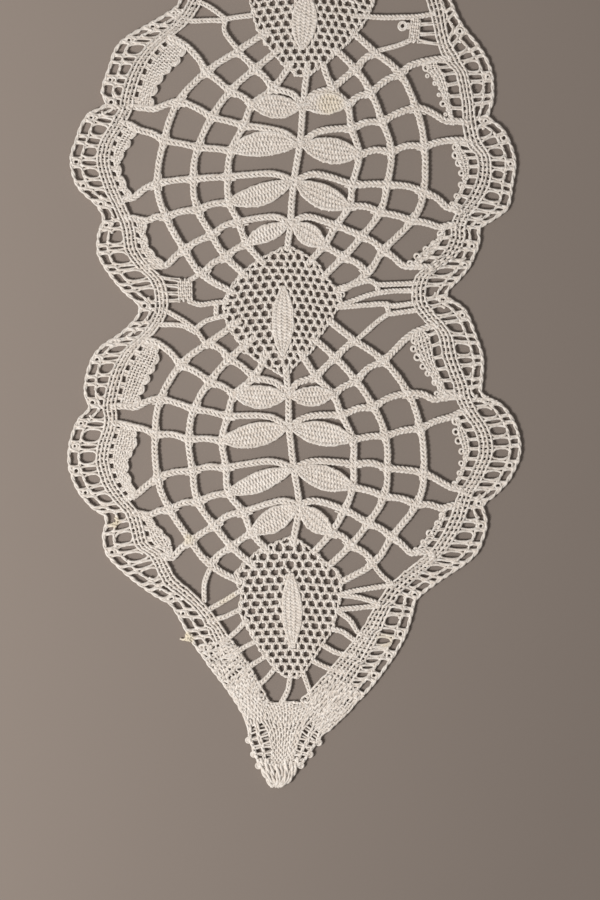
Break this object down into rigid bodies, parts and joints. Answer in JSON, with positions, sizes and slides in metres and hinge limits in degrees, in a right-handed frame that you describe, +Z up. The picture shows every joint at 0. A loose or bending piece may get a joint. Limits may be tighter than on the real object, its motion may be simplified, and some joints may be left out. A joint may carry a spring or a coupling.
{
  "type": "bobbin lace strip",
  "caption": "Pointed end of a bobbin lace strip lying flat: rounds of plaits and woven leaves, honeycomb panels, scalloped cloth-stitch edges and a bound tip.",
  "frame": {"origin": "middle of the strip's outline, on the surface that it lies on", "axes": "+X across the strip, +Y along it from the bound tip to the cut end, +Z up from the surface"},
  "size_m": [0.0908, 0.1606, 0.001],
  "materials": {
    "lace": "matte undyed thread"
  },
  "bodies": {
    "root": {"lace": "lace"}
  },
  "joints": []
}
